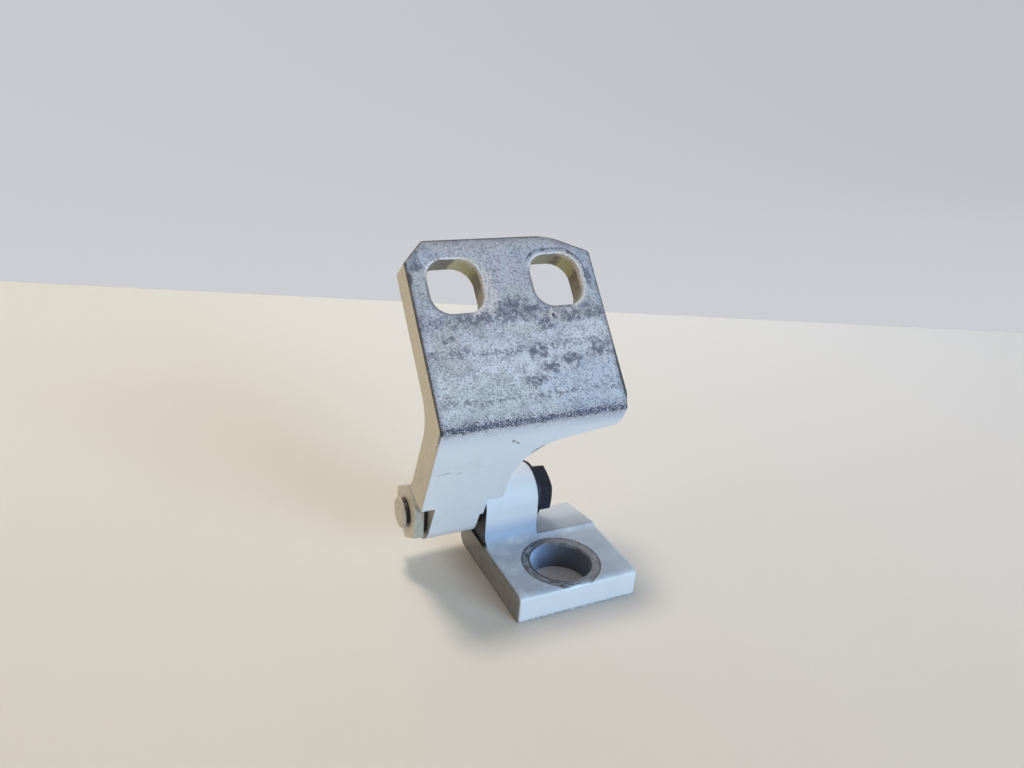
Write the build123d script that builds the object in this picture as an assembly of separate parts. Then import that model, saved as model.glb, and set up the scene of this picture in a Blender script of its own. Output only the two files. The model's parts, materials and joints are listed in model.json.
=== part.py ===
from build123d import *
import os
from math import cos, radians, sin, sqrt, tan

# Car door hinge: two steel leaves joined by a hexagon-headed pin, two flanged bushes and a flange nut.
# Millimetres, +Z up, +X along the pin, +Y to the back. The origin is the centre of the base leaf's
# bolt hole, on the contact face that the base stands on.

# Pin axis
axis_height = 19.0          # above the base's contact face
axis_setback = 23.5         # behind the base's bolt hole
eye_radius = 8.6            # outside of both eyes

# Lower leaf
base_width = 37.6
base_thickness = 8.5
base_left_margin = 18.5     # from the bolt hole's centre to the left side
base_front_margin = 11.0    # from the bolt hole's centre to the front edge
base_bolt_hole_radius = 9.0
base_front_round = 1.8
base_rear_reach = 7.0       # rear face, behind the pin axis
base_rear_round = 3.5
base_corner_round = 0.8
web_foot_round = 3.5
lower_eye_width = 16.9
lower_eye_step = 0.75       # the eye's left face stands back from the base's side
facet_front_rise = 0.4      # the milled facet beside the eye, above the base's top at its front
facet_fall = 9.5            # degrees that the facet falls to the rear
facet_front_lead = 1.2      # the facet begins this far in front of the eye

# Upper leaf
plate_width = 55.4
plate_height = 52.3         # along the face, from the bend to the top edge
plate_thickness = 7.8
plate_left_overhang = 4.15  # plate's left side, beyond the eye's left end
plate_edge_round = 0.6
flange_height = 43.7        # from the pin axis to the bend, along the flange
flange_thickness = 8.8
bend_angle = 63.8           # the plate turns back from the flange by this angle
bend_inner_round = 11.0
bend_outer_round = 0.8
leaf_lean = 22.0            # the flange leans to the front by this angle at rest
upper_eye_width = 14.75
eye_back_round = 2.5
flange_foot = 11.5          # lower edge of the flange beside the eye, above the pin axis
flange_overhang = 5.1       # flange beyond its right side at the eye
flange_notch_round = 0.4
spot_face_radius = 9.9      # seat cut round the pin in the eye's right end
spot_face_depth = 1.0
arm_sweep_radius = 15.0     # hollow sweep under the plate's right arm
arm_fall = 9.0              # degrees that the arm's lower edge falls towards the eye
arm_depth = 6.9             # lower edge of the arm's tip, below the bend
arm_tip_round = 2.5
arm_tip_inset = 1.0         # the arm's tip stands in from the plate's side
arm_shoulder_drop = 0.3     # the step from the arm's tip to the plate's side begins below the bend
arm_shoulder_rise = 1.2     # and ends above it
arm_shoulder_round = 0.6
left_corner_cut = 6.0
right_corner_cut_along = 12.6
right_corner_cut_down = 5.4
left_corner_round = 1.0
right_corner_round = 1.5
right_corner_sweep = 20.0

# Square bolt holes of the upper leaf
square_hole_size = 15.3     # at the front face
square_hole_round = 5.5
square_hole_flare = 5.0     # degrees that the punched walls widen to the back
square_hole_pitch = 30.0
square_hole_drop = 13.6     # below the top edge, along the plate
square_hole_rim_round = 0.8

# Hinge pin
journal_radius = 4.5
taper_end_radius = 4.1
taper_length = 11.0
thread_radius = 4.0
thread_proud = 0.8
thread_chamfer = 0.7
pin_hex_flats = 15.0
pin_hex_height = 2.8
pin_hex_turn = 30.0         # one corner stands this many degrees above the front
stub_radius = 4.5
stub_height = 0.7
stub_chamfer = 0.3
stub_groove_radius = 3.4
stub_groove_width = 1.3

# Bushes
bush_wall = 1.0
bush_flange_radius = 6.8
outer_bush_flange = 1.2     # thickness, under the pin's head
inner_bush_flange = 2.65    # thickness, between the two eyes
bush_length = 6.5
bush_chamfer = 0.3

# Flange nut
nut_flats = 13.0
nut_height = 5.6
nut_flange_radius = 8.9
nut_flange_thickness = 0.7
nut_flange_slope = 1.2      # height of the cone between the flange and the hexagon
nut_chamfer_angle = 15.0
nut_turn = 30.0

# Clearances
running_clearance = 0.04    # pin in its bushes, radial
thrust_clearance = 0.05     # end play at each bush flange
seat_clearance = 0.01       # pressed and tapered seats, radial

# Stations along the pin
base_left = -base_left_margin
base_right = base_left + base_width
lower_eye_left = base_left + lower_eye_step
lower_eye_right = lower_eye_left + lower_eye_width
upper_eye_right = lower_eye_left - thrust_clearance - inner_bush_flange
flange_side = upper_eye_right + spot_face_depth
upper_eye_left = upper_eye_right - upper_eye_width
hex_right = upper_eye_left - outer_bush_flange - thrust_clearance
hex_left = hex_right - pin_hex_height
stub_right = hex_left - stub_groove_width
stub_left = stub_right - stub_height
nut_end = lower_eye_right + nut_height
pin_end = nut_end + thread_proud
plate_left = upper_eye_left - plate_left_overhang
plate_right = plate_left + plate_width
plate_middle = (plate_left + plate_right) / 2

# Sizes that follow from the ones above
bush_bore_radius = journal_radius + running_clearance
bush_outer_radius = bush_bore_radius + bush_wall
upper_bore_radius = bush_outer_radius + seat_clearance
base_top = base_thickness - axis_height
at_pin = Pos(0, axis_setback, axis_height)
through = 2 * (flange_height + plate_height)    # a cut of this length passes the whole hinge
past_eye = 2 * eye_radius                       # a cut to here passes the eye


def along_pin(section, start, end):
    """Extrude a section drawn in (Y, Z) about the pin axis from one station to another."""
    return Pos(start, 0, 0) * extrude(Plane.YZ * section, amount=end - start)


def turned(profile):
    """Revolve a closed profile of (station, radius) points about the pin axis."""
    outline = make_face(Polyline(*[(x, radius) for x, radius in profile], close=True))
    return revolve(outline, Axis.X)


def hexagon_bar(flats, turn, start, end):
    """Hexagon bar on the pin axis, with one corner turned above the front by the given angle."""
    hexagon = RegularPolygon(radius=flats / sqrt(3), side_count=6, rotation=180 - turn)
    return along_pin(hexagon, start, end)


def corners_near(sketch, *points):
    """The sketch's corners that lie closest to the given points."""
    return [sketch.vertices().sort_by_distance(point)[0] for point in points]


def lower_leaf():
    """Base plate with its upright eye, cut from one profile."""
    front = -axis_setback - base_front_margin
    floor = -axis_height
    plate = Polyline(
        (front, floor), (base_rear_reach, floor), (base_rear_reach, 0), (-eye_radius, 0),
        (-eye_radius, base_top), (front, base_top), close=True)
    section = make_face(plate) + Circle(eye_radius)
    section = fillet(corners_near(section, (-eye_radius, base_top)), web_foot_round)
    section = fillet(corners_near(section, (front, base_top)), base_front_round)
    section = fillet(corners_near(section, (base_rear_reach, floor)), base_rear_round)
    leaf = along_pin(section, base_left, base_right)
    upright = leaf.edges().filter_by(Axis.Z).group_by(Axis.Y)[0]
    leaf = fillet(upright, base_corner_round)

    # The facet milled beside the eye, from in front of the eye down to the rear.
    facet_front = -eye_radius - facet_front_lead
    facet_level = base_top + facet_front_rise
    facet_drop = (past_eye - facet_front) * tan(radians(facet_fall))
    above_facet = make_face(Polyline(
        (facet_front, facet_level), (past_eye, facet_level - facet_drop),
        (past_eye, past_eye), (facet_front, past_eye), close=True))
    leaf -= along_pin(above_facet, lower_eye_right, base_right + base_corner_round)

    # The eye's left end is faced back from the base's side, down to the base's top.
    above_base = make_face(Polyline(
        (front, base_top), (past_eye, base_top), (past_eye, past_eye),
        (front, past_eye), close=True))
    leaf -= along_pin(above_base, base_left, lower_eye_left)

    seat_large = journal_radius + seat_clearance
    seat_small = taper_end_radius + seat_clearance
    taper_end = lower_eye_left + taper_length
    leaf -= turned([
        (lower_eye_left, 0), (lower_eye_left, seat_large), (taper_end, seat_small),
        (lower_eye_right, seat_small), (lower_eye_right, 0)])
    leaf = at_pin * leaf
    return leaf - Cylinder(base_bolt_hole_radius, through)


def upper_section():
    """Section of the upper leaf with its flange upright: eye, flange, bend and plate."""
    front = -eye_radius
    back = front + flange_thickness
    turn = radians(bend_angle)
    top_front = (front + plate_height * sin(turn), flange_height + plate_height * cos(turn))
    top_back = (top_front[0] + plate_thickness * cos(turn), top_front[1] - plate_thickness * sin(turn))
    inner_bend = (back, flange_height + (flange_thickness * cos(turn) - plate_thickness) / sin(turn))
    section = make_face(Polyline(
        (front, 0), (front, flange_height), top_front, top_back, inner_bend, (back, 0), close=True))
    section = fillet(corners_near(section, inner_bend), bend_inner_round)
    section = fillet(corners_near(section, (front, flange_height)), bend_outer_round)
    section += Circle(eye_radius)
    eye_back = (back, sqrt(eye_radius ** 2 - back ** 2))
    return fillet(corners_near(section, eye_back), eye_back_round)


def flange_outline():
    """Outline of the upper leaf square to the flange: eye, foot, hollow sweep, arm and plate side."""
    neck_right = flange_side + flange_overhang
    arm_tip = plate_right - arm_tip_inset
    tip = (arm_tip, flange_height - arm_depth)
    sweep = (neck_right, tip[1] - (arm_tip - neck_right) * tan(radians(arm_fall)))
    shoulder_low = (arm_tip, flange_height - arm_shoulder_drop)
    shoulder_high = (plate_right, flange_height + arm_shoulder_rise)
    notch_left = (upper_eye_left, flange_foot)
    notch_right = (flange_side, flange_foot)
    outline = make_face(Polyline(
        (upper_eye_left, -through), (flange_side, -through), notch_right,
        (neck_right, flange_foot), sweep, tip, shoulder_low, shoulder_high,
        (plate_right, through), (plate_left, through), (plate_left, flange_foot), notch_left, close=True))
    outline = fillet(corners_near(outline, sweep), arm_sweep_radius)
    outline = fillet(corners_near(outline, tip), arm_tip_round)
    outline = fillet(corners_near(outline, shoulder_low, shoulder_high), arm_shoulder_round)
    return fillet(corners_near(outline, notch_left, notch_right), flange_notch_round)


def plate_outline():
    """Outline of the plate in its own face, measured up from the bend, with its two cut corners."""
    left_low = (plate_left, plate_height - left_corner_cut)
    left_high = (plate_left + left_corner_cut, plate_height)
    right_high = (plate_right - right_corner_cut_along, plate_height)
    right_low = (plate_right, plate_height - right_corner_cut_down)
    outline = make_face(Polyline(
        (plate_left, -through), (plate_right, -through), right_low, right_high, left_high, left_low,
        close=True))
    outline = fillet(corners_near(outline, left_low, left_high), left_corner_round)
    outline = fillet(corners_near(outline, right_high), right_corner_sweep)
    return fillet(corners_near(outline, right_low), right_corner_round)


def upper_leaf():
    """Bent profile with the eye at its foot and two rounded square holes, leaning on the pin."""
    leaf = along_pin(upper_section(), plate_left, plate_right)
    leaf &= extrude(Plane.XZ * flange_outline(), amount=through, both=True)
    turn = radians(bend_angle)
    face = Plane(origin=(0, -eye_radius, flange_height), x_dir=(1, 0, 0), z_dir=(0, -cos(turn), sin(turn)))
    leaf &= extrude(face * plate_outline(), amount=through, both=True)
    square_hole = RectangleRounded(square_hole_size, square_hole_size, square_hole_round)
    for side in (-1, 1):
        place = Pos(plate_middle + side * square_hole_pitch / 2, plate_height - square_hole_drop)
        leaf -= extrude(face * place * square_hole, amount=-2 * plate_thickness, taper=-square_hole_flare)
    leaf -= along_pin(Circle(spot_face_radius), upper_eye_right, flange_side)
    leaf -= turned([
        (upper_eye_left, 0), (upper_eye_left, upper_bore_radius),
        (upper_eye_right, upper_bore_radius), (upper_eye_right, 0)])
    contact_face = leaf.faces().filter_by(GeomType.PLANE).sort_by_distance(
        (face * Pos(plate_middle, plate_height / 2)).position)[0]
    rims = contact_face.inner_wires().edges()
    bend_line = contact_face.outer_wire().edges().sort_by(Axis.Z)[0]
    sides = contact_face.outer_wire().edges() - [bend_line]
    leaf = fillet(rims, square_hole_rim_round)
    leaf = fillet(sides, plate_edge_round)
    return at_pin * Rot(leaf_lean, 0, 0) * leaf


def hinge_pin():
    """Pin with an end stub, hexagon head, journal, tapered seat and threaded end."""
    taper_end = lower_eye_left + taper_length
    pin = turned([
        (stub_left, 0), (stub_left, stub_radius - stub_chamfer), (stub_left + stub_chamfer, stub_radius),
        (stub_right, stub_radius), (stub_right, stub_groove_radius), (hex_left, stub_groove_radius),
        (hex_left, journal_radius),
        (lower_eye_left, journal_radius), (taper_end, taper_end_radius), (taper_end, thread_radius),
        (pin_end - thread_chamfer, thread_radius), (pin_end, thread_radius - thread_chamfer), (pin_end, 0)])
    pin += hexagon_bar(pin_hex_flats, pin_hex_turn, hex_left, hex_right)
    return at_pin * pin


def flanged_bush(flange_face, thickness, toward):
    """Flanged bush whose flange rests on the eye's end and whose sleeve runs towards +X or -X."""
    flange_end = flange_face - toward * thickness
    sleeve_end = flange_face + toward * bush_length
    bush = turned([
        (flange_end, bush_bore_radius), (flange_end, bush_flange_radius - bush_chamfer),
        (flange_end + toward * bush_chamfer, bush_flange_radius), (flange_face, bush_flange_radius),
        (flange_face, bush_outer_radius), (sleeve_end - toward * bush_chamfer, bush_outer_radius),
        (sleeve_end, bush_outer_radius - bush_chamfer), (sleeve_end, bush_bore_radius)])
    return at_pin * bush


def flange_nut():
    """Hexagon nut with a sloped flange against the lower eye and a chamfered outer end."""
    corner_radius = nut_flats / sqrt(3)
    flange_top = lower_eye_right + nut_flange_thickness
    cone_end = flange_top + nut_flange_slope
    chamfer = (corner_radius - nut_flats / 2) * tan(radians(nut_chamfer_angle))
    bore = thread_radius + seat_clearance
    skirt = turned([
        (lower_eye_right, bore), (lower_eye_right, nut_flange_radius), (flange_top, nut_flange_radius),
        (cone_end, nut_flats / 2), (cone_end, bore)])
    envelope = turned([
        (lower_eye_right, bore), (lower_eye_right, corner_radius), (nut_end - chamfer, corner_radius),
        (nut_end, nut_flats / 2), (nut_end, bore)])
    hexagon = hexagon_bar(nut_flats, nut_turn, lower_eye_right, nut_end)
    return at_pin * (skirt + (envelope & hexagon))


nodes = {
    "lower_leaf": lower_leaf(),
    "upper_leaf": upper_leaf(),
    "hinge_pin": hinge_pin(),
    "outer_bush": flanged_bush(upper_eye_left, outer_bush_flange, 1),
    "inner_bush": flanged_bush(upper_eye_right, inner_bush_flange, -1),
    "flange_nut": flange_nut(),
}
os.makedirs("parts", exist_ok=True)
for name, shape in nodes.items():
    export_step(shape, f"parts/{name}.step")
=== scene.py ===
import json
from math import atan2, cos, pi, radians, sin, tan

import bpy
import numpy as np
from mathutils import Matrix, Vector


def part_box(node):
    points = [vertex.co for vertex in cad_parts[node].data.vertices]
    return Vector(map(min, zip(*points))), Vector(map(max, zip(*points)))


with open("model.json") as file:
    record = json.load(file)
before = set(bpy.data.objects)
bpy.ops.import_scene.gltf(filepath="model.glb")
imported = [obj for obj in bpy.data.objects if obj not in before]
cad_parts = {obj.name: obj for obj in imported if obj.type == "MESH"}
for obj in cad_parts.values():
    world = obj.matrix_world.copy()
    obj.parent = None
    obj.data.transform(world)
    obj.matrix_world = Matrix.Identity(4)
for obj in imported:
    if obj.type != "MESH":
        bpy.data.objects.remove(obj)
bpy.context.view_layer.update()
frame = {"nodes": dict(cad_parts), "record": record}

# Car door hinge: finishes, floor, light and camera. Metres; finishes count in millimetres.
MM = 0.001

# The view of the hinge
camera_place = Vector((-0.1072, -0.1674, 0.1519))
camera_azimuth = 27.33      # degrees from +Y towards +X
camera_fall = 24.18         # degrees below the horizon
camera_roll = 4.81
camera_lens = 29.17         # mm
camera_sensor = 36.0        # mm wide

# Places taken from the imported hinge; plain numbers are mm
mounts = {mount["name"]: mount for mount in frame["record"]["mounts"]}
pin_joint = frame["record"]["behaviour"]["joints"][0]
pin_place = Vector(pin_joint["pos_m"])
left_hole = Vector(mounts["left_square_hole"]["pos_m"])
right_hole = Vector(mounts["right_square_hole"]["pos_m"])
plate_normal = Vector(mounts["plate_contact_face"]["axis"])
plate_middle = (left_hole + right_hole) / 2
plate_tilt = atan2(-plate_normal.y, plate_normal.z)
hole_offset = (right_hole - left_hole).length / 2 / MM
bolt_hole_radius = mounts["base_bolt_hole"]["dims"]["r_mm"]
leaf_low, leaf_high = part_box("upper_leaf")
leaf_left = leaf_low.x / MM
plate_half_width = (leaf_high.x - leaf_low.x) / 2 / MM
base_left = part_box("lower_leaf")[0].x / MM
bush_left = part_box("outer_bush")[0].x / MM
pin_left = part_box("hinge_pin")[0].x / MM

# Upper leaf, mm. The plate's outline counts from the middle of its two holes.
square_half = 7.65
square_round = 5.5
square_flare = 0.0875       # the walls widen to the back by this share of the depth
plate_top = 13.6
plate_bend = -38.7
left_cut = 6.0
right_cut_along = 12.6
right_cut_down = 5.4
flange_turn = radians(112.0)    # turns Y up the flange and Z out of its front face
flange_face = 8.6           # front face of the flange, in front of the pin axis
flange_foot = 11.5          # above the pin axis, along the flange
flange_bend = 43.7          # above the pin axis, along the flange
bush_flange = 1.2           # the outer bush's flange covers the eye's left end
upper_eye_left = bush_left + bush_flange

# Lower leaf, mm
base_thickness = 8.5
lower_eye_step = 0.75       # the eye's left face stands back from the base's side
lower_eye_left = base_left + lower_eye_step
lower_eye_right = -0.85
web_face = 14.9             # front of the web that carries the eye, behind the bolt hole
facet_front = 13.7          # front of the milled facet beside the eye, behind the bolt hole
facet_rise = 0.4            # the facet's front, above the base's top
facet_slope = tan(radians(9.5))     # its fall to the rear
ring_radius = 11.6          # bare ring that a washer wore round the bolt hole

# Hinge pin, mm
stub_radius = 4.5
stub_height = 0.7
groove_width = 1.3
head_half_flats = 7.5

# Relief of all finishes, mm
bump_depth = 0.02
soft_edge = 0.3

# The table's colours change between these places, mm, as painted light and shade, and its backdrop begins at
# a seam
table_left = -190.0
table_right = 290.0
table_front = -130.0
table_back = 290.0
seam_normal = (0.366, 0.931, 0)
seam_distance = 247.0

# Marks are ellipses: place across and up, half length, half width, turn in degrees.
# On the plate they count from the middle of the two holes, on the flange from the pin axis.
plate_smudges = [
    (8.2, -12.8, 2.8, 1.5, 0), (16.0, -11.0, 5.0, 1.4, 0), (23.6, -10.6, 3.0, 1.4, 8),
    (4.0, -19.8, 3.0, 2.2, 0), (13.2, -23.2, 2.8, 2.1, -20), (22.8, -21.0, 3.4, 2.3, 10),
    (6.8, -24.9, 3.0, 1.6, 0), (1.0, -27.8, 3.8, 1.6, 0), (25.0, 0.4, 0.9, 3.8, 4),
    (-24.6, 7.0, 1.6, 3.0, 0), (-20.0, -14.5, 2.0, 0.8, 20), (0.5, -7.6, 7.0, 3.0, 0),
    (-11.0, -9.6, 5.0, 1.6, 0)]
plate_pale = [
    (0.7, -13.0, 7.0, 1.6, 0), (21.0, -15.4, 6.0, 2.8, 0), (-8.0, -25.5, 10.0, 3.5, 4),
    (14.0, -31.0, 10.0, 3.5, 4)]
plate_beige = [
    (-5.8, -1.5, 1.7, 6.4, 0), (-8.6, -8.2, 4.2, 1.5, 24), (23.4, 1.0, 0.6, 4.6, 3),
    (14.0, -10.0, 6.0, 1.6, 0)]
plate_black = [
    (11.2, -10.2, 0.50, 0.46, 0), (27.5, 7.0, 0.5, 1.8, 12), (-26.9, 3.0, 0.5, 1.6, 0)]
plate_greens = [
    (-13.0, -31.0, 13.0, 6.5, 4), (-25.0, 3.0, 3.0, 9.0, 0), (1.0, -13.5, 6.0, 1.8, 0)]
plate_blues = [
    (17.0, -31.0, 12.0, 7.0, 4), (8.0, 9.0, 7.0, 2.6, 0), (25.6, 2.0, 2.2, 8.0, 4),
    (-22.0, 9.0, 5.0, 2.0, 25)]
plate_duns = [
    (-4.0, 12.4, 26.0, 2.2, 0), (-14.0, -10.6, 6.0, 1.8, 0), (14.0, -10.2, 8.0, 1.8, 0),
    (-21.0, -18.0, 5.0, 7.0, 0)]
flange_chips = [
    (-17.6, 36.5, 0.9, 0.35, -35), (-16.3, 35.6, 0.8, 0.3, -40), (-9.4, 31.4, 1.7, 0.35, 34),
    (-35.0, 27.1, 1.8, 0.16, 6), (-31.2, 26.4, 0.8, 0.16, 16), (-39.3, 41.6, 0.3, 2.4, 0)]

# Bands across the plate: height, half width and wave
plate_bands = [(-9.6, 3.2, 1.6), (-18.8, 1.7, 1.3), (-32.0, 1.2, 1.8)]

# Colours, linear
# Some of these colours also stand for painted light and shade, as their uses say
paint_white = (0.745, 0.765, 0.805)
paint_worn = (0.58, 0.58, 0.57)
tan_and_warm_shade = (0.615, 0.55, 0.435)
paint_warm_shade = (0.57, 0.50, 0.395)
paint_speck_and_shade = (0.30, 0.34, 0.47)
grime_and_shadow = (0.10, 0.09, 0.075)
grime_and_shade_olive = (0.20, 0.19, 0.155)
side_shade_grey = (0.165, 0.163, 0.155)
zinc_blue = (0.445, 0.46, 0.51)
zinc_lilac = (0.47, 0.45, 0.51)
zinc_green = (0.45, 0.475, 0.455)
zinc_sky = (0.40, 0.45, 0.54)
zinc_dun = (0.43, 0.41, 0.40)
zinc_pale_and_glint = (0.78, 0.77, 0.81)
zinc_beige = (0.66, 0.60, 0.57)
zinc_dark_and_shade = (0.12, 0.125, 0.16)
zinc_black = (0.02, 0.022, 0.032)
zinc_navy = (0.034, 0.038, 0.062)
edge_brown = (0.04, 0.036, 0.036)
steel_bare = (0.32, 0.36, 0.42)
steel_dark_and_shade = (0.07, 0.065, 0.065)
rust_dark = (0.05, 0.038, 0.03)
dust_and_shade_blue = (0.27, 0.32, 0.41)
web_shade_blue = (0.25, 0.37, 0.56)
gap_shade_black = (0.015, 0.014, 0.013)
bush_dark = (0.012, 0.011, 0.010)
bush_dusty = (0.05, 0.042, 0.032)
nut_black = (0.007, 0.009, 0.020)
nut_rubbed = (0.045, 0.048, 0.07)
table_front_left = (0.66, 0.59, 0.50)
table_front_right = (0.77, 0.71, 0.69)
table_back_left = (0.75, 0.70, 0.625)
table_back_right = (0.86, 0.825, 0.81)
backdrop_near = (0.60, 0.615, 0.65)
backdrop_far = (0.52, 0.535, 0.565)
lamp_warm = (1.0, 0.94, 0.84)
window_cool = (0.50, 0.75, 1.0)
glow_amber = (1.0, 0.74, 0.40)
room_light = (1.0, 0.98, 0.95)

# Passivate on the walls of the square holes, by the angle about the hole's middle: turns of a circle from -X
left_wall = [
    (0.0, (0.20, 0.20, 0.16)), (0.36, (0.38, 0.34, 0.25)), (0.47, (0.30, 0.27, 0.19)),
    (0.52, (0.11, 0.09, 0.05)), (0.58, (0.17, 0.16, 0.09)), (0.62, (0.46, 0.45, 0.27)),
    (0.715, (0.44, 0.44, 0.28)), (0.73, (0.14, 0.14, 0.115)), (0.85, (0.17, 0.17, 0.155)),
    (1.0, (0.20, 0.20, 0.17))]
right_wall = [
    (0.0, (0.24, 0.23, 0.19)), (0.36, (0.35, 0.33, 0.25)), (0.44, (0.25, 0.22, 0.16)),
    (0.55, (0.14, 0.11, 0.065)), (0.575, (0.38, 0.36, 0.19)), (0.655, (0.40, 0.38, 0.22)),
    (0.68, (0.15, 0.12, 0.07)), (0.72, (0.25, 0.23, 0.17)), (0.86, (0.28, 0.28, 0.23)),
    (1.0, (0.22, 0.22, 0.19))]
# Painted light and shade round the wall of the base's bolt hole, by the same angle: bluish where it faces
# the front window, dark where it faces away
bolt_wall_light_and_shade = [
    (0.0, (0.27, 0.33, 0.47)), (0.50, (0.15, 0.16, 0.19)), (0.68, (0.15, 0.16, 0.195)),
    (0.78, (0.23, 0.29, 0.45)), (0.88, (0.58, 0.72, 1.0)), (1.0, (0.27, 0.33, 0.47))]


class Shading:
    """A node tree with short ways to make its nodes, sums, masks and colours."""

    def __init__(self, tree):
        self.nodes = tree.nodes
        self.links = tree.links

    def feed(self, socket, value):
        """Link a socket to another, or set its value; a colour may leave its alpha out."""
        if isinstance(value, bpy.types.NodeSocket):
            self.links.new(value, socket)
        elif socket.type == "RGBA" and len(value) == 3:
            socket.default_value = (*value, 1)
        else:
            socket.default_value = value

    def node(self, kind, inputs, **settings):
        """A new node with its settings and inputs."""
        made = self.nodes.new("ShaderNode" + kind)
        for key, value in settings.items():
            setattr(made, key, value)
        for key, value in inputs.items():
            self.feed(made.inputs[key], value)
        return made

    def parts(self, vector):
        """The three coordinates of a vector."""
        return self.node("SeparateXYZ", {0: vector}).outputs

    def joined(self, x, y, z):
        """A vector from three coordinates."""
        return self.node("CombineXYZ", {0: x, 1: y, 2: z}).outputs[0]

    def math(self, operation, *values):
        """One sum of numbers."""
        return self.node("Math", dict(enumerate(values)), operation=operation).outputs[0]

    def vector(self, operation, *values):
        """One sum of vectors."""
        made = self.node("VectorMath", dict(enumerate(values)), operation=operation)
        return made.outputs["Value" if operation in ("LENGTH", "DOT_PRODUCT") else "Vector"]

    def chain(self, operation, values):
        """One sum carried through several numbers."""
        made = values[0]
        for value in values[1:]:
            made = self.math(operation, made, value)
        return made

    def total(self, *values):
        """All the numbers together."""
        return self.chain("ADD", values)

    def less(self, value, amount):
        """A number less another."""
        return self.math("SUBTRACT", value, amount)

    def gap(self, value, level):
        """The distance between a number and a level."""
        return self.math("ABSOLUTE", self.less(value, level))

    def least(self, *values):
        """The smallest of several numbers."""
        return self.chain("MINIMUM", values)

    def both(self, *masks):
        """The product of masks."""
        return self.chain("MULTIPLY", masks)

    def either(self, *masks):
        """The largest of masks."""
        return self.chain("MAXIMUM", masks)

    def share(self, mask, amount):
        """A part of a mask."""
        return self.math("MULTIPLY", mask, amount)

    def swing(self, value, amount):
        """Noise turned into a swing of this amount to both sides of zero."""
        return self.math("MULTIPLY_ADD", value, 2 * amount, -amount)

    def turns(self, up, across):
        """The angle of a place about a middle, from 0 to 1 for the circle that starts at -X."""
        return self.math("MULTIPLY_ADD", self.math("ARCTAN2", up, across), 0.5 / pi, 0.5)

    def step(self, value, low, high):
        """0 at low, 1 at high and smooth between; low may be the larger."""
        span = {"Value": value, "From Min": low, "From Max": high}
        return self.node("MapRange", span, interpolation_type="SMOOTHSTEP").outputs[0]

    def blend(self, factor, first, second):
        """A number between two."""
        return self.node("Mix", {0: factor, 2: first, 3: second}, data_type="FLOAT").outputs[0]

    def mix(self, factor, first, second):
        """A colour between two."""
        return self.node("Mix", {0: factor, 6: first, 7: second}, data_type="RGBA").outputs[2]

    def over(self, colour, mask, strength, tint):
        """A colour with a tint laid over it where a mask is, at a strength."""
        return self.mix(self.share(mask, strength), colour, tint)

    def ramp(self, value, stops):
        """A colour that follows a value from 0 to 1 through stops of (value, colour)."""
        made = self.node("ValToRGB", {0: value})
        points = made.color_ramp.elements
        while len(points) < len(stops):
            points.new(0.5)
        for point, (at, colour) in zip(points, stops):
            point.position = at
            point.color = (*colour, 1)
        return made.outputs[0]

    def seen(self):
        """1 for rays from the camera and for those that gloss or glass sends on, 0 for light."""
        rays = self.node("LightPath", {}).outputs
        return self.either(rays["Is Camera Ray"], rays["Is Glossy Ray"], rays["Is Transmission Ray"])


class Finish(Shading):
    """One material: a Principled shader fed by textures that are measured in the piece's own millimetres."""

    def __init__(self, name):
        self.material = bpy.data.materials.new(name)
        self.material.use_nodes = True
        super().__init__(self.material.node_tree)
        self.shader = self.nodes["Principled BSDF"]
        self.own = self.nodes.new("ShaderNodeTexCoord").outputs["Object"]
        self.mm = self.seen_from((0, 0, 0), 0)

    def seen_from(self, place, turn):
        """Millimetres in a frame that stands at a place and is turned about X."""
        mapping = {"Vector": self.own, "Location": place, "Rotation": (turn, 0, 0), "Scale": (MM, MM, MM)}
        return self.node("Mapping", mapping, vector_type="TEXTURE").outputs[0]

    def shifted(self, place, by):
        """A place moved by some millimetres, so that two textures differ."""
        return self.vector("ADD", place, by)

    def noise(self, grain, detail=2.0, rough=0.5, where=None):
        """Noise about 0.5, with blobs about a grain across."""
        inputs = {"Vector": where or self.mm, "Scale": 1 / grain, "Detail": detail, "Roughness": rough}
        return self.node("TexNoise", inputs).outputs[0]

    def spots(self, place, marks, ragged, grain):
        """The listed ellipses in the X and Y of a place, with edges that noise makes ragged."""
        edge = self.swing(self.noise(grain, 4.0, 0.65, place), ragged)
        masks = []
        for across, up, half_length, half_width, turn in marks:
            cosine = cos(radians(turn))
            sine = sin(radians(turn))
            away = self.vector("SUBTRACT", place, (across, up, 0))
            along = self.vector("DOT_PRODUCT", away, (cosine / half_length, sine / half_length, 0))
            beside = self.vector("DOT_PRODUCT", away, (-sine / half_width, cosine / half_width, 0))
            reach = self.vector("LENGTH", self.joined(along, beside, 0.0))
            masks.append(self.step(self.total(reach, edge), 1.25, 0.75))
        return self.either(*masks)

    def relief(self, height):
        """Bump by a height, over edges that are softened by a small round."""
        normal = self.node("Bevel", {"Radius": soft_edge * MM}, samples=4).outputs[0]
        inputs = {"Height": height, "Distance": bump_depth * MM, "Strength": 1.0, "Normal": normal}
        self.feed(self.shader.inputs["Normal"], self.node("Bump", inputs).outputs[0])

    def set(self, **values):
        """Set or link the shader's inputs, named with underscores."""
        for key, value in values.items():
            self.feed(self.shader.inputs[key.replace("_", " ").title()], value)


def paint(finish):
    """Colour, roughness and height of white paint with faint waves, stains and dust."""
    stain = finish.step(finish.noise(9.0, 4.0, 0.6), 0.52, 0.72)
    fleck = finish.step(finish.noise(0.55, 2.0, 0.6), 0.70, 0.76)
    colour = finish.over(paint_white, stain, 0.22, paint_worn)
    colour = finish.over(colour, fleck, 0.35, grime_and_shadow)
    rough = finish.blend(stain, 0.34, 0.46)
    height = finish.total(finish.noise(1.6), finish.share(finish.noise(0.25), 0.15))
    return colour, rough, height


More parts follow.
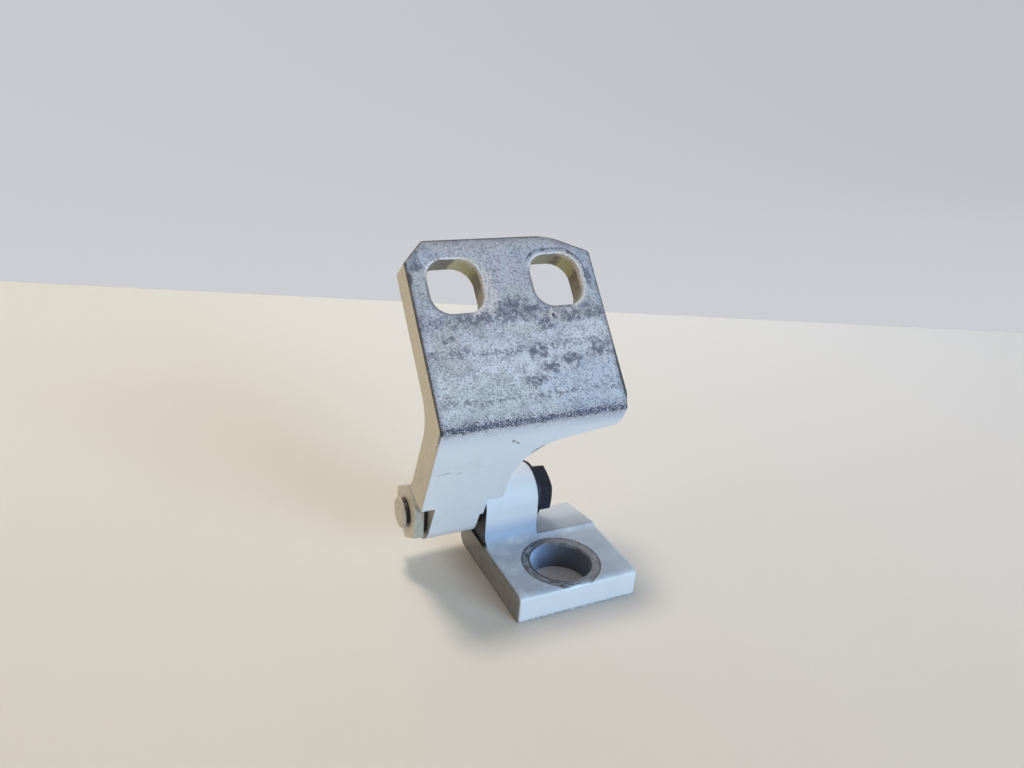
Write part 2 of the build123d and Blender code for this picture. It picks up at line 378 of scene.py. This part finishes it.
def rounded_square(finish, across, along, centre):
    """Distance outside a square hole: the length of max(|p| - (half - round), 0), less the round."""
    inner = square_half - square_round
    away = finish.vector("ABSOLUTE", finish.joined(finish.less(across, centre), along, 0.0))
    beyond = finish.vector("MAXIMUM", finish.vector("SUBTRACT", away, (inner, inner, 0)), (0, 0, 0))
    return finish.less(finish.vector("LENGTH", beyond), square_round)


def outline_depth(finish, place):
    """Depth inside the plate's outline: the smallest distance to its free edges and cut corners."""
    half = plate_half_width
    left_slope = Vector((1, -1)).normalized()
    right_slope = Vector((-right_cut_down, -right_cut_along)).normalized()
    edges = [
        ((1, 0), (-half, 0)), ((-1, 0), (half, 0)), ((0, -1), (0, plate_top)),
        (left_slope, (-half, plate_top - left_cut)), (right_slope, (half, plate_top - right_cut_down))]
    depths = []
    for normal, point in edges:
        start = normal[0] * point[0] + normal[1] * point[1]
        reach = finish.vector("DOT_PRODUCT", place, (normal[0], normal[1], 0))
        depths.append(finish.less(reach, start))
    return finish.least(*depths)


class LeafPlaces:
    """Where a point of the upper leaf lies, in mm, and the noises that its finishes share."""

    def __init__(self, finish):
        # On the plate: across and along its face, out of it, and outside the nearest hole
        self.plate = finish.seen_from(plate_middle, plate_tilt)
        self.across, self.along, self.out = finish.parts(self.plate)
        centres = (-hole_offset, hole_offset)
        self.hole = finish.least(*[rounded_square(finish, self.across, self.along, at) for at in centres])
        self.hole_wall = finish.math("MULTIPLY_ADD", self.out, square_flare, self.hole)
        nearest = finish.share(finish.math("SIGN", self.across), hole_offset)
        self.from_hole = finish.less(self.across, nearest)

        # On the flange: up it from the pin, whether on its front, and along the surface past the bend
        self.flange = finish.seen_from(pin_place, flange_turn)
        self.up, front = finish.parts(self.flange)[1:]
        self.on_front = finish.step(front, flange_face - 1.0, flange_face - 0.5)
        up_plate = finish.either(finish.less(self.along, plate_bend), 0.0)
        down_flange = finish.least(finish.less(self.up, flange_bend), 0.0)
        self.past_bend = finish.total(up_plate, down_flange)

        self.fine = finish.noise(0.3, 2.0, 0.6)
        self.grain = finish.noise(0.6, 2.0, 0.6, self.plate)
        self.mottle = finish.noise(1.7, 5.0, 0.72, finish.shifted(self.plate, (31, 7, 0)))


def zinc_clouds(finish, leaf):
    """Bare zinc: blue and lilac clouds with coloured patches, then mottle and speckle."""
    hue = finish.noise(3.2, 4.0, 0.65, finish.shifted(leaf.plate, (5, 43, 0)))
    cloud = finish.noise(9.0, 4.0, 0.6, leaf.plate)
    lilac = finish.total(hue, finish.share(leaf.along, 0.004))
    colour = finish.mix(finish.step(lilac, 0.38, 0.54), zinc_blue, zinc_lilac)
    colour = finish.over(colour, finish.step(cloud, 0.48, 0.62), 0.7, zinc_green)
    pale = finish.share(finish.spots(leaf.plate, plate_pale, 1.2, 4.0), 0.5)
    lower = finish.step(finish.total(leaf.along, finish.swing(cloud, 8.0)), -8.0, -20.0)
    colour = finish.mix(finish.either(pale, finish.share(lower, 0.36)), colour, zinc_pale_and_glint)
    for marks, tint in ((plate_greens, zinc_green), (plate_blues, zinc_sky), (plate_duns, zinc_dun)):
        colour = finish.over(colour, finish.spots(leaf.plate, marks, 1.6, 3.0), 0.65, tint)
    patch = finish.noise(5.0, 3.0, 0.6, finish.shifted(leaf.plate, (17, 71, 0)))
    colour = finish.over(colour, finish.step(patch, 0.46, 0.64), 0.32, zinc_dark_and_shade)
    colour = finish.over(colour, finish.spots(leaf.plate, plate_beige, 1.2, 1.2), 0.7, zinc_beige)
    colour = finish.over(colour, finish.step(leaf.grain, 0.46, 0.34), 0.42, zinc_pale_and_glint)
    colour = finish.over(colour, finish.step(leaf.mottle, 0.50, 0.70), 0.60, zinc_dark_and_shade)
    density = finish.blend(finish.step(hue, 0.42, 0.60), 0.45, 0.85)
    return finish.mix(finish.both(finish.step(leaf.grain, 0.51, 0.66), density), colour, zinc_dark_and_shade)


def zinc_marks(finish, leaf, colour):
    """The zinc with darker bands, wavy and broken, smudges, black specks, and rims of the holes painted dark
    as shade below and pale as glints above.
    """
    uneven = finish.total(leaf.mottle, finish.swing(leaf.grain, 0.15))
    broken = finish.step(uneven, 0.40, 0.60)
    smudges = finish.spots(leaf.plate, plate_smudges, 1.5, 2.4)
    dark = finish.both(smudges, finish.step(uneven, 0.36, 0.55))
    for height, half_width, wave in plate_bands:
        waves = finish.noise(6.0, 3.0, 0.6, finish.shifted(leaf.plate, (height, 3 * height, 0)))
        away = finish.gap(finish.total(leaf.along, finish.swing(waves, 2 * wave)), height)
        band = finish.both(finish.step(away, half_width, 0.2 * half_width), broken)
        dark = finish.either(dark, finish.share(band, 0.75))
    colour = finish.over(colour, dark, 0.90, zinc_dark_and_shade)
    colour = finish.over(colour, finish.spots(leaf.plate, plate_black, 0.9, 0.6), 0.8, zinc_black)

    # A broken arc round the top of the right hole; rims painted dark as shade at the bottom and pale as a
    # glint at the top
    from_arc = finish.gap(finish.total(leaf.hole, finish.swing(leaf.mottle, 0.8)), 1.7)
    right_top = finish.both(finish.step(leaf.across, 6.0, 9.0), finish.step(leaf.along, -4.0, 0.0))
    arc = finish.both(finish.step(from_arc, 0.50, 0.10), right_top, finish.blend(broken, 0.40, 0.90))
    colour = finish.mix(arc, colour, zinc_navy)
    rim = finish.step(leaf.hole, 0.90, 0.45)
    colour = finish.over(colour, finish.both(rim, finish.step(leaf.along, 4.0, 0.0)), 0.55, zinc_dark_and_shade)
    lip = finish.both(rim, finish.step(leaf.mottle, 0.40, 0.52), finish.step(leaf.along, 2.5, 5.5))
    return finish.over(colour, lip, 0.85, zinc_pale_and_glint)


def zinc_edges(finish, leaf, colour):
    """The zinc with dark ragged edges, widest at the lower right, and a line of navy specks at the bend."""
    lower_right = finish.both(finish.step(leaf.across, 20.0, 27.0), finish.step(leaf.along, -14.0, -30.0))
    depth = finish.total(outline_depth(finish, leaf.plate), finish.swing(leaf.grain, 0.9))
    depth = finish.less(depth, finish.share(lower_right, 0.6))
    colour = finish.over(colour, finish.step(depth, 2.4, 0.6), 0.30, zinc_dark_and_shade)
    colour = finish.over(colour, finish.step(depth, 0.75, 0.30), 0.88, edge_brown)
    scatter = finish.total(finish.swing(leaf.fine, 8.0), finish.swing(leaf.grain, 7.0))
    from_line = finish.total(finish.gap(leaf.past_bend, -0.2), scatter)
    colour = finish.over(colour, finish.step(from_line, 2.3, 0.3), 0.85, zinc_navy)
    ragged = finish.total(finish.swing(leaf.fine, 2.0), finish.swing(leaf.grain, 2.0))
    from_core = finish.total(finish.gap(leaf.past_bend, 0.1), ragged)
    return finish.over(colour, finish.step(from_core, 1.4, 0.6), 0.92, zinc_navy)


def hole_passivate(finish, leaf):
    """Passivate that changes round the walls of each square hole, with a faint mottle."""
    mottle = finish.noise(1.8, 4.0, 0.6)
    turn = finish.total(finish.turns(leaf.along, leaf.from_hole), finish.swing(mottle, 0.03))
    on_right = finish.step(leaf.across, -1.0, 1.0)
    colour = finish.mix(on_right, finish.ramp(turn, left_wall), finish.ramp(turn, right_wall))
    return finish.over(colour, finish.step(mottle, 0.50, 0.70), 0.35, grime_and_shadow)


def torn_rims(finish, leaf, colour):
    """A colour with torn zinc laid over it, beige and pale, on the right of each square hole's rim."""
    rim_depth = finish.total(leaf.out, finish.swing(leaf.mottle, 1.6))
    torn = finish.both(finish.step(rim_depth, -1.9, -1.2), finish.step(leaf.hole_wall, 1.0, 0.7))
    torn = finish.both(torn, finish.step(leaf.from_hole, 1.5, 4.5))
    flakes = finish.over(zinc_beige, finish.step(leaf.fine, 0.45, 0.62), 0.55, grime_and_shade_olive)
    flakes = finish.mix(finish.step(leaf.grain, 0.42, 0.34), flakes, zinc_pale_and_glint)
    return finish.over(colour, torn, 0.9, flakes)


def leaf_paint(finish, leaf, white):
    """White paint that is tan on the sawn left side as painted warm shade, chipped on the flange, speckled
    below the bend, with painted shade on the eye's left end and at the arm's end.
    """
    place = finish.parts(finish.mm)
    sawn = finish.step(place["X"], leaf_left + 0.35, leaf_left + 0.10)
    # Painted warm shade: the sawn left side, turned from the light, is tan
    white = finish.over(white, sawn, 0.92, tan_and_warm_shade)
    low_down = finish.step(place["Z"], 62.0, 26.0)
    soiled = finish.math("MULTIPLY_ADD", low_down, 0.14, finish.share(leaf.mottle, 0.5))
    white = finish.over(white, finish.both(sawn, finish.step(soiled, 0.20, 0.60)), 0.34, grime_and_shade_olive)
    coarse_flecks = finish.share(finish.step(leaf.grain, 0.54, 0.68), 0.30)
    fine_flecks = finish.share(finish.step(leaf.fine, 0.56, 0.70), 0.22)
    white = finish.mix(finish.both(sawn, finish.either(coarse_flecks, fine_flecks)), white, grime_and_shade_olive)
    # Painted shade on the eye's left end, in the narrow gap below the flange's foot
    eye_end_shade = finish.step(place["X"], upper_eye_left + 0.12, upper_eye_left + 0.06)
    eye_end_shade = finish.both(eye_end_shade, finish.step(leaf.up, flange_foot, flange_foot - 0.2))
    white = finish.over(white, eye_end_shade, 0.75, grime_and_shade_olive)

    # The flange's front
    chips = finish.both(finish.spots(leaf.flange, flange_chips, 1.8, 0.7), leaf.on_front)
    white = finish.over(white, chips, 0.65, steel_dark_and_shade)
    near_bend = finish.total(leaf.past_bend, finish.swing(leaf.fine, 10.0), finish.swing(leaf.mottle, 4.0))
    speckle = finish.both(finish.step(near_bend, -2.8, 0.0), finish.step(leaf.past_bend, -6.5, -1.0))
    white = finish.over(white, finish.both(speckle, leaf.on_front), 0.80, paint_speck_and_shade)
    hazy = finish.both(finish.step(leaf.past_bend, -8.5, -2.0), leaf.on_front)
    white = finish.over(white, hazy, 0.17, paint_speck_and_shade)
    # Painted shade, lilac, on the flange's front at the arm's end near the bend
    arm_end_shade = finish.both(finish.step(leaf.past_bend, -5.5, -2.0), finish.step(leaf.across, 4.0, 19.0))
    return finish.over(white, finish.both(arm_end_shade, leaf.on_front), 0.36, paint_speck_and_shade)


def upper_leaf_finish():
    """White paint on the flange and the eye, bare zinc on the contact face, passivate in the holes."""
    finish = Finish("painted_leaf_bare_plate")
    leaf = LeafPlaces(finish)
    white, white_rough, white_height = paint(finish)
    white = leaf_paint(finish, leaf, white)
    zinc = zinc_clouds(finish, leaf)
    zinc = zinc_marks(finish, leaf, zinc)
    zinc = zinc_edges(finish, leaf, zinc)

    # Zinc lies on the plate's face and ends just below the bend
    on_plate = finish.step(finish.total(leaf.out, finish.swing(leaf.grain, 0.25)), -0.65, -0.35)
    on_plate = finish.both(on_plate, finish.step(leaf.along, plate_bend - 0.5, plate_bend))
    zinc_end = finish.total(leaf.past_bend, finish.swing(leaf.mottle, 3.0), finish.swing(leaf.fine, 5.0))
    on_face = finish.both(finish.either(on_plate, leaf.on_front), finish.step(zinc_end, -1.5, -0.3))
    in_hole = finish.step(leaf.hole_wall, 0.20, 0.02)
    bare = finish.either(on_face, in_hole)
    colour = finish.mix(on_face, white, zinc)
    colour = finish.mix(in_hole, colour, hole_passivate(finish, leaf))
    colour = torn_rims(finish, leaf, colour)
    rough = finish.blend(bare, white_rough, finish.blend(leaf.grain, 0.36, 0.60))
    height = finish.blend(bare, white_height, finish.math("MULTIPLY_ADD", leaf.grain, 2.5, leaf.mottle))
    finish.set(base_color=colour, metallic=finish.share(bare, 0.45), roughness=rough)
    finish.relief(height)
    return finish.material


class BasePlaces:
    """Where a point of the lower leaf lies, in mm, and the noises that its finishes share."""

    def __init__(self, finish):
        self.x, self.y, self.z = finish.parts(finish.mm)
        self.radius = finish.vector("LENGTH", finish.joined(self.x, self.y, 0.0))
        self.dirt = finish.noise(3.0, 5.0, 0.65)
        self.fine = finish.noise(0.7, 3.0, 0.65)
        up_to_top = finish.step(self.z, base_thickness - 1.3, base_thickness - 0.5)
        self.on_top = finish.both(up_to_top, finish.step(self.z, base_thickness + 3.5, base_thickness + 0.5))
        self.above_base = finish.step(self.z, base_thickness + 0.1, base_thickness + 0.4)
        self.to_right = finish.step(self.x, -5.0, 8.0)

        # The ring's ragged radius, and scratches that run round the hole
        self.worn_radius = finish.total(self.radius, finish.swing(self.fine, 0.35))
        round_hole = finish.joined(self.radius, finish.math("ARCTAN2", self.y, self.x), 0.0)
        self.scratches = finish.noise(0.3, 3.0, 0.7, round_hole)


def base_paint(finish, base, white):
    """White paint, dusty and painted darker as shade on top, with painted blue shade on the facet and at the
    web's foot, painted shade and some grime on the left side, painted shade on the eye's left face, and a
    painted contact shadow at the bottom.
    """
    # Dust on top, painted darker and bluer also as the shade under the plate, fading out to the right
    haze = finish.math("MULTIPLY_ADD", finish.noise(7.0, 4.0, 0.55), 0.5, finish.share(base.fine, 0.15))
    dust = finish.both(base.on_top, finish.step(haze, 0.14, 0.42), finish.step(base.x, 38.0, -8.0))
    white = finish.over(white, dust, 0.72, dust_and_shade_blue)
    # Painted shade, bluish, on the milled facet beside the eye
    facet_start = base_thickness + facet_rise + facet_front * facet_slope
    facet_level = finish.math("MULTIPLY_ADD", base.y, -facet_slope, facet_start)
    facet_shade = finish.step(finish.gap(base.z, facet_level), 0.30, 0.15)
    facet_shade = finish.both(facet_shade, finish.step(base.x, lower_eye_right - 0.05, lower_eye_right + 0.25))
    facet_shade = finish.both(facet_shade, finish.step(base.y, facet_front - 0.2, facet_front + 0.2))
    white = finish.over(white, facet_shade, 0.40, dust_and_shade_blue)
    # Painted shade, blue, on the web's front above its foot
    web_foot_shade = finish.step(base.z, base_thickness + 8.5, base_thickness + 2.5)
    web_foot_shade = finish.both(web_foot_shade, finish.step(base.z, base_thickness + 0.2, base_thickness + 1.7))
    web_foot_shade = finish.both(web_foot_shade, finish.step(base.y, web_face + 0.7, web_face + 0.3))
    white = finish.over(white, web_foot_shade, 0.62, web_shade_blue)

    # Painted shade and some grime on the left side, a dark upper edge, a painted contact shadow at the
    # bottom, painted shade on the eye's left face
    shaded_side = finish.step(base.x, base_left + 0.40, base_left + 0.10)
    white = finish.over(white, shaded_side, 0.90, side_shade_grey)
    white = finish.over(white, finish.both(shaded_side, finish.step(base.dirt, 0.35, 0.70)), 0.5, grime_and_shadow)
    brink = finish.step(base.x, base_left + 0.35, base_left + 0.15)
    brink = finish.both(brink, finish.step(base.z, base_thickness - 0.5, base_thickness - 0.2))
    white = finish.over(white, brink, 0.65, edge_brown)
    # Painted contact shadow, broken, along the bottom
    contact_shadow = finish.both(finish.step(base.z, 1.0, 0.2), finish.step(base.fine, 0.30, 0.60))
    white = finish.over(white, contact_shadow, 0.7, grime_and_shadow)
    # Painted shade, near black, on the eye's left face and the ledge before it, in the gap between the eyes
    ledge = finish.step(base.z, base_thickness - 0.3, base_thickness - 0.1)
    ledge = finish.both(ledge, finish.step(base.y, web_face - 2.4, web_face - 0.4))
    eye_side = finish.step(base.x, lower_eye_left + 0.12, lower_eye_left + 0.06)
    eye_side_shade = finish.both(eye_side, finish.either(base.above_base, ledge))
    return finish.over(white, eye_side_shade, 0.93, gap_shade_black)


def ring_metal(finish, base):
    """Steel that a washer wore bare: turned scratches, lighter on the right and dark along its edges."""
    metal = finish.mix(finish.step(base.scratches, 0.42, 0.60), steel_bare, steel_dark_and_shade)
    metal = finish.over(metal, base.to_right, 0.5, zinc_dun)
    outer_rim = finish.share(finish.step(base.worn_radius, ring_radius - 0.7, ring_radius - 0.1), 0.8)
    inner_rim = finish.step(base.worn_radius, bolt_hole_radius + 0.8, bolt_hole_radius + 0.3)
    inner_rim = finish.both(inner_rim, finish.step(base.x, 0.0, -6.0))
    return finish.mix(finish.either(outer_rim, inner_rim), metal, steel_dark_and_shade)


def bolt_hole_colour(finish, base, metal):
    """The bolt hole's wall, with painted light and shade round it and painted shade low down, with the
    ring's metal over its lip on the right.
    """
    turn = finish.total(finish.turns(base.y, base.x), finish.swing(base.dirt, 0.08))
    colour = finish.ramp(turn, bolt_wall_light_and_shade)
    colour = finish.over(colour, finish.step(base.z, 5.0, 1.0), 0.35, steel_dark_and_shade)
    lip = finish.both(finish.step(base.z, base_thickness - 1.1, base_thickness - 0.8), base.to_right)
    return finish.mix(lip, colour, metal)


def lower_leaf_finish():
    """White paint on the base and its eye, worn to a bare ring round the bolt hole."""
    finish = Finish("painted_base_worn_ring")
    base = BasePlaces(finish)
    white, white_rough, white_height = paint(finish)
    white = base_paint(finish, base, white)
    white_rough = finish.blend(base.above_base, white_rough, 0.60)
    ring = finish.step(base.worn_radius, ring_radius + 0.15, ring_radius - 0.15)
    wall = finish.step(base.radius, bolt_hole_radius + 0.10, bolt_hole_radius + 0.04)
    worn = finish.either(finish.both(ring, base.on_top), wall)
    metal = ring_metal(finish, base)
    metal = finish.mix(wall, metal, bolt_hole_colour(finish, base, metal))
    metal_rough = finish.blend(wall, finish.blend(base.fine, 0.32, 0.52), 0.45)
    height = finish.blend(worn, finish.total(white_height, 2.0), base.scratches)
    finish.set(
        base_color=finish.mix(worn, white, metal),
        metallic=finish.blend(wall, finish.share(worn, 0.6), 0.2),
        roughness=finish.blend(worn, white_rough, metal_rough))
    finish.relief(finish.blend(wall, height, finish.share(base.fine, 0.4)))
    return finish.material


def pin_finish():
    """Steel pin whose head and end stub took some of the paint, tan as painted warm shade; the groove
    between is dark.
    """
    finish = Finish("pin_steel_with_overspray")
    x, y, z = finish.parts(finish.seen_from(pin_place, 0))
    radius = finish.vector("LENGTH", finish.joined(y, z, 0.0))
    stub_right = pin_left + stub_height
    head_left = stub_right + groove_width
    head = finish.step(x, bush_left, bush_left - 0.1)
    groove = finish.step(radius, stub_radius - 0.05, stub_radius - 0.20)
    groove = finish.both(groove, finish.step(x, stub_right - 0.25, stub_right - 0.05), head)
    white, white_rough, white_height = paint(finish)
    steel = finish.mix(finish.noise(0.8, 3.0, 0.6), steel_bare, steel_dark_and_shade)
    # Painted warm shade: the head and stub are tan, as white paint turned from the light
    shaded_paint = finish.mix(0.85, white, paint_warm_shade)
    dirt = finish.step(finish.noise(2.2, 4.0, 0.65), 0.50, 0.66)
    shaded_paint = finish.over(shaded_paint, dirt, 0.35, grime_and_shade_olive)

    # The hexagon's flats: a white painted highlight on the lower ones, olive painted shade on the upper ones
    flats = finish.step(radius, head_half_flats - 0.3, head_half_flats - 0.1)
    flats = finish.both(flats, finish.step(x, head_left + 0.1, head_left + 0.2))
    shaded_paint = finish.mix(finish.both(flats, finish.step(z, -4.0, -5.0)), shaded_paint, white)
    shaded_paint = finish.over(shaded_paint, finish.both(flats, finish.step(z, -5.0, -4.0)), 0.30, grime_and_shade_olive)
    stub = finish.step(x, stub_right + 0.3, stub_right + 0.1)
    shaded_paint = finish.over(shaded_paint, stub, 0.18, grime_and_shade_olive)
    colour = finish.mix(head, steel, shaded_paint)
    colour = finish.mix(groove, colour, rust_dark)
    bare = finish.less(1.0, head)
    rough = finish.blend(head, 0.35, white_rough)
    finish.set(base_color=colour, metallic=finish.share(bare, 0.9), roughness=rough)
    finish.relief(white_height)
    return finish.material


def bush_finish():
    """Dark low-friction bush with a little dust."""
    finish = Finish("dark_bush")
    dust = finish.step(finish.noise(1.0, 3.0, 0.6), 0.5, 0.7)
    finish.set(base_color=finish.mix(dust, bush_dark, bush_dusty), roughness=0.6)
    finish.relief(dust)
    return finish.material


def nut_finish():
    """Matte black coating, rubbed a little grey in places."""
    finish = Finish("black_nut_coating")
    rub = finish.step(finish.noise(0.7, 4.0, 0.65), 0.55, 0.72)
    cloud = finish.noise(3.0, 3.0, 0.6)
    colour = finish.over(nut_black, rub, 0.35, nut_rubbed)
    finish.set(base_color=colour, roughness=finish.blend(cloud, 0.40, 0.60), metallic=0.3)
    finish.relief(finish.total(cloud, rub))
    return finish.material


def floor_finish():
    """Pale matte table, painted lighter and darker across it as light and shade, with a painted shadow along
    the seam; past the seam, and far off all round, a greyer backdrop that glows where it is seen, painted
    darker with distance as shade.
    """
    finish = Finish("pale_table")
    grain = finish.noise(1.5, 3.0, 0.6)
    x, y = finish.parts(finish.mm)[:2]
    # Painted light and shade: the table is darker to the front left and lighter to the back right
    to_right = finish.step(x, table_left, table_right)
    front = finish.mix(to_right, table_front_left, table_front_right)
    back = finish.mix(to_right, table_back_left, table_back_right)
    table = finish.mix(finish.step(y, table_front, table_back), front, back)
    table = finish.over(table, grain, 0.10, tan_and_warm_shade)
    beyond = finish.less(finish.vector("DOT_PRODUCT", finish.mm, seam_normal), seam_distance)
    # Painted shadow: a thin dark line along the seam
    seam_shadow = finish.both(finish.step(beyond, -1.5, 0.0), finish.step(beyond, 3.0, 1.5))
    finish.set(base_color=finish.over(table, seam_shadow, 0.15, grime_and_shadow), roughness=0.6)

    # The backdrop: a glow seen by camera, gloss and glass rays, painted darker with distance as shade
    distance = finish.vector("LENGTH", finish.mm)
    deep = finish.either(finish.step(beyond, 0.0, 700.0), finish.step(distance, 900.0, 2500.0))
    shade = finish.mix(deep, backdrop_near, backdrop_far)
    glow = finish.node("Emission", {"Color": shade, "Strength": 1.0}).outputs[0]
    past = finish.either(finish.step(beyond, -0.5, 0.5), finish.step(distance, 450.0, 1100.0))
    far = finish.both(finish.seen(), past)
    surface = finish.node("MixShader", {0: far, 1: finish.shader.outputs[0], 2: glow}).outputs[0]
    finish.feed(finish.nodes["Material Output"].inputs["Surface"], surface)
    return finish.material


def grid_mesh(name, points):
    """A mesh object from a rows by columns grid of points."""
    rows, columns = points.shape[:2]
    index = np.arange(rows * columns).reshape(rows, columns)
    quads = np.stack([index[:-1, :-1], index[:-1, 1:], index[1:, 1:], index[1:, :-1]], -1).reshape(-1, 4)
    mesh = bpy.data.meshes.new(name)
    mesh.from_pydata(points.reshape(-1, 3), [], quads)
    mesh.shade_smooth()
    made = bpy.data.objects.new(name, mesh)
    bpy.context.collection.objects.link(made)
    return made


def floor():
    """Table top that sweeps up behind: a flat run, a quarter arc and an upright run, carried along X."""
    half_width = 4.0
    front = -4.0
    bend_start = 0.40
    sweep = 0.25
    wall = 1.5
    turn = np.linspace(0, np.pi / 2, 25)
    depth = np.concatenate([[front], bend_start + sweep * np.sin(turn), [bend_start + sweep]])
    height = np.concatenate([[0], sweep - sweep * np.cos(turn), [wall]])
    along = np.linspace(-half_width, half_width, 3)
    points = np.stack(np.broadcast_arrays(along[None, :], depth[:, None], height[:, None]), -1)
    made = grid_mesh("floor", points)
    made.data.materials.append(floor_finish())


def lamp(name, place, target, size, power, colour):
    """A square area lamp that faces a target."""
    light = bpy.data.lights.new(name, "AREA")
    light.size = size
    light.energy = power
    light.color = colour
    made = bpy.data.objects.new(name, light)
    made.location = place
    made.rotation_euler = (Vector(target) - Vector(place)).to_track_quat("-Z", "Y").to_euler()
    bpy.context.collection.objects.link(made)


def lights():
    """A warm lamp above and behind, a cool window in front on the right, a faint glow from the left."""
    middle = (-0.01, 0.01, 0.045)
    lamp("ceiling_lamp", (-0.12, 0.27, 0.98), middle, 0.20, 4.75, lamp_warm)
    lamp("front_window", (1.23, -2.58, 1.00), middle, 1.6, 70.0, window_cool)
    lamp("left_glow", (-0.90, 0.20, 0.30), middle, 0.8, 2.0, glow_amber)


def room():
    """Faint light from all round; where it is seen, it has the backdrop's colour."""
    world = bpy.data.worlds.new("studio")
    world.use_nodes = True
    shading = Shading(world.node_tree)
    around = shading.nodes["Background"]
    shading.feed(around.inputs["Color"], room_light)
    shading.feed(around.inputs["Strength"], 0.20)
    backdrop = shading.node("Background", {"Color": backdrop_far, "Strength": 1.0})
    choice = {0: shading.seen(), 1: around.outputs[0], 2: backdrop.outputs[0]}
    surface = shading.node("MixShader", choice).outputs[0]
    shading.feed(shading.nodes["World Output"].inputs["Surface"], surface)
    bpy.context.scene.world = world


def camera():
    """The camera at the hinge's viewing angle."""
    azimuth, fall, roll = map(radians, (camera_azimuth, camera_fall, camera_roll))
    look = Vector((sin(azimuth) * cos(fall), cos(azimuth) * cos(fall), -sin(fall)))
    level = Vector((cos(azimuth), -sin(azimuth), 0))
    upright = level.cross(look)
    right = level * cos(roll) + upright * sin(roll)
    up = right.cross(look)
    data = bpy.data.cameras.new("camera")
    data.lens = camera_lens
    data.sensor_width = camera_sensor
    data.clip_start = 0.01
    made = bpy.data.objects.new("camera", data)
    made.matrix_world = Matrix.Translation(camera_place) @ Matrix((right, up, -look)).transposed().to_4x4()
    bpy.context.collection.objects.link(made)
    bpy.context.scene.camera = made


finishes = {
    "upper_leaf": upper_leaf_finish(),
    "lower_leaf": lower_leaf_finish(),
    "hinge_pin": pin_finish(),
    "flange_nut": nut_finish(),
}
finishes["outer_bush"] = finishes["inner_bush"] = bush_finish()
for node, material in finishes.items():
    frame["nodes"][node].data.materials.clear()
    frame["nodes"][node].data.materials.append(material)

floor()
lights()
room()
camera()
bpy.context.scene.view_settings.view_transform = "Standard"
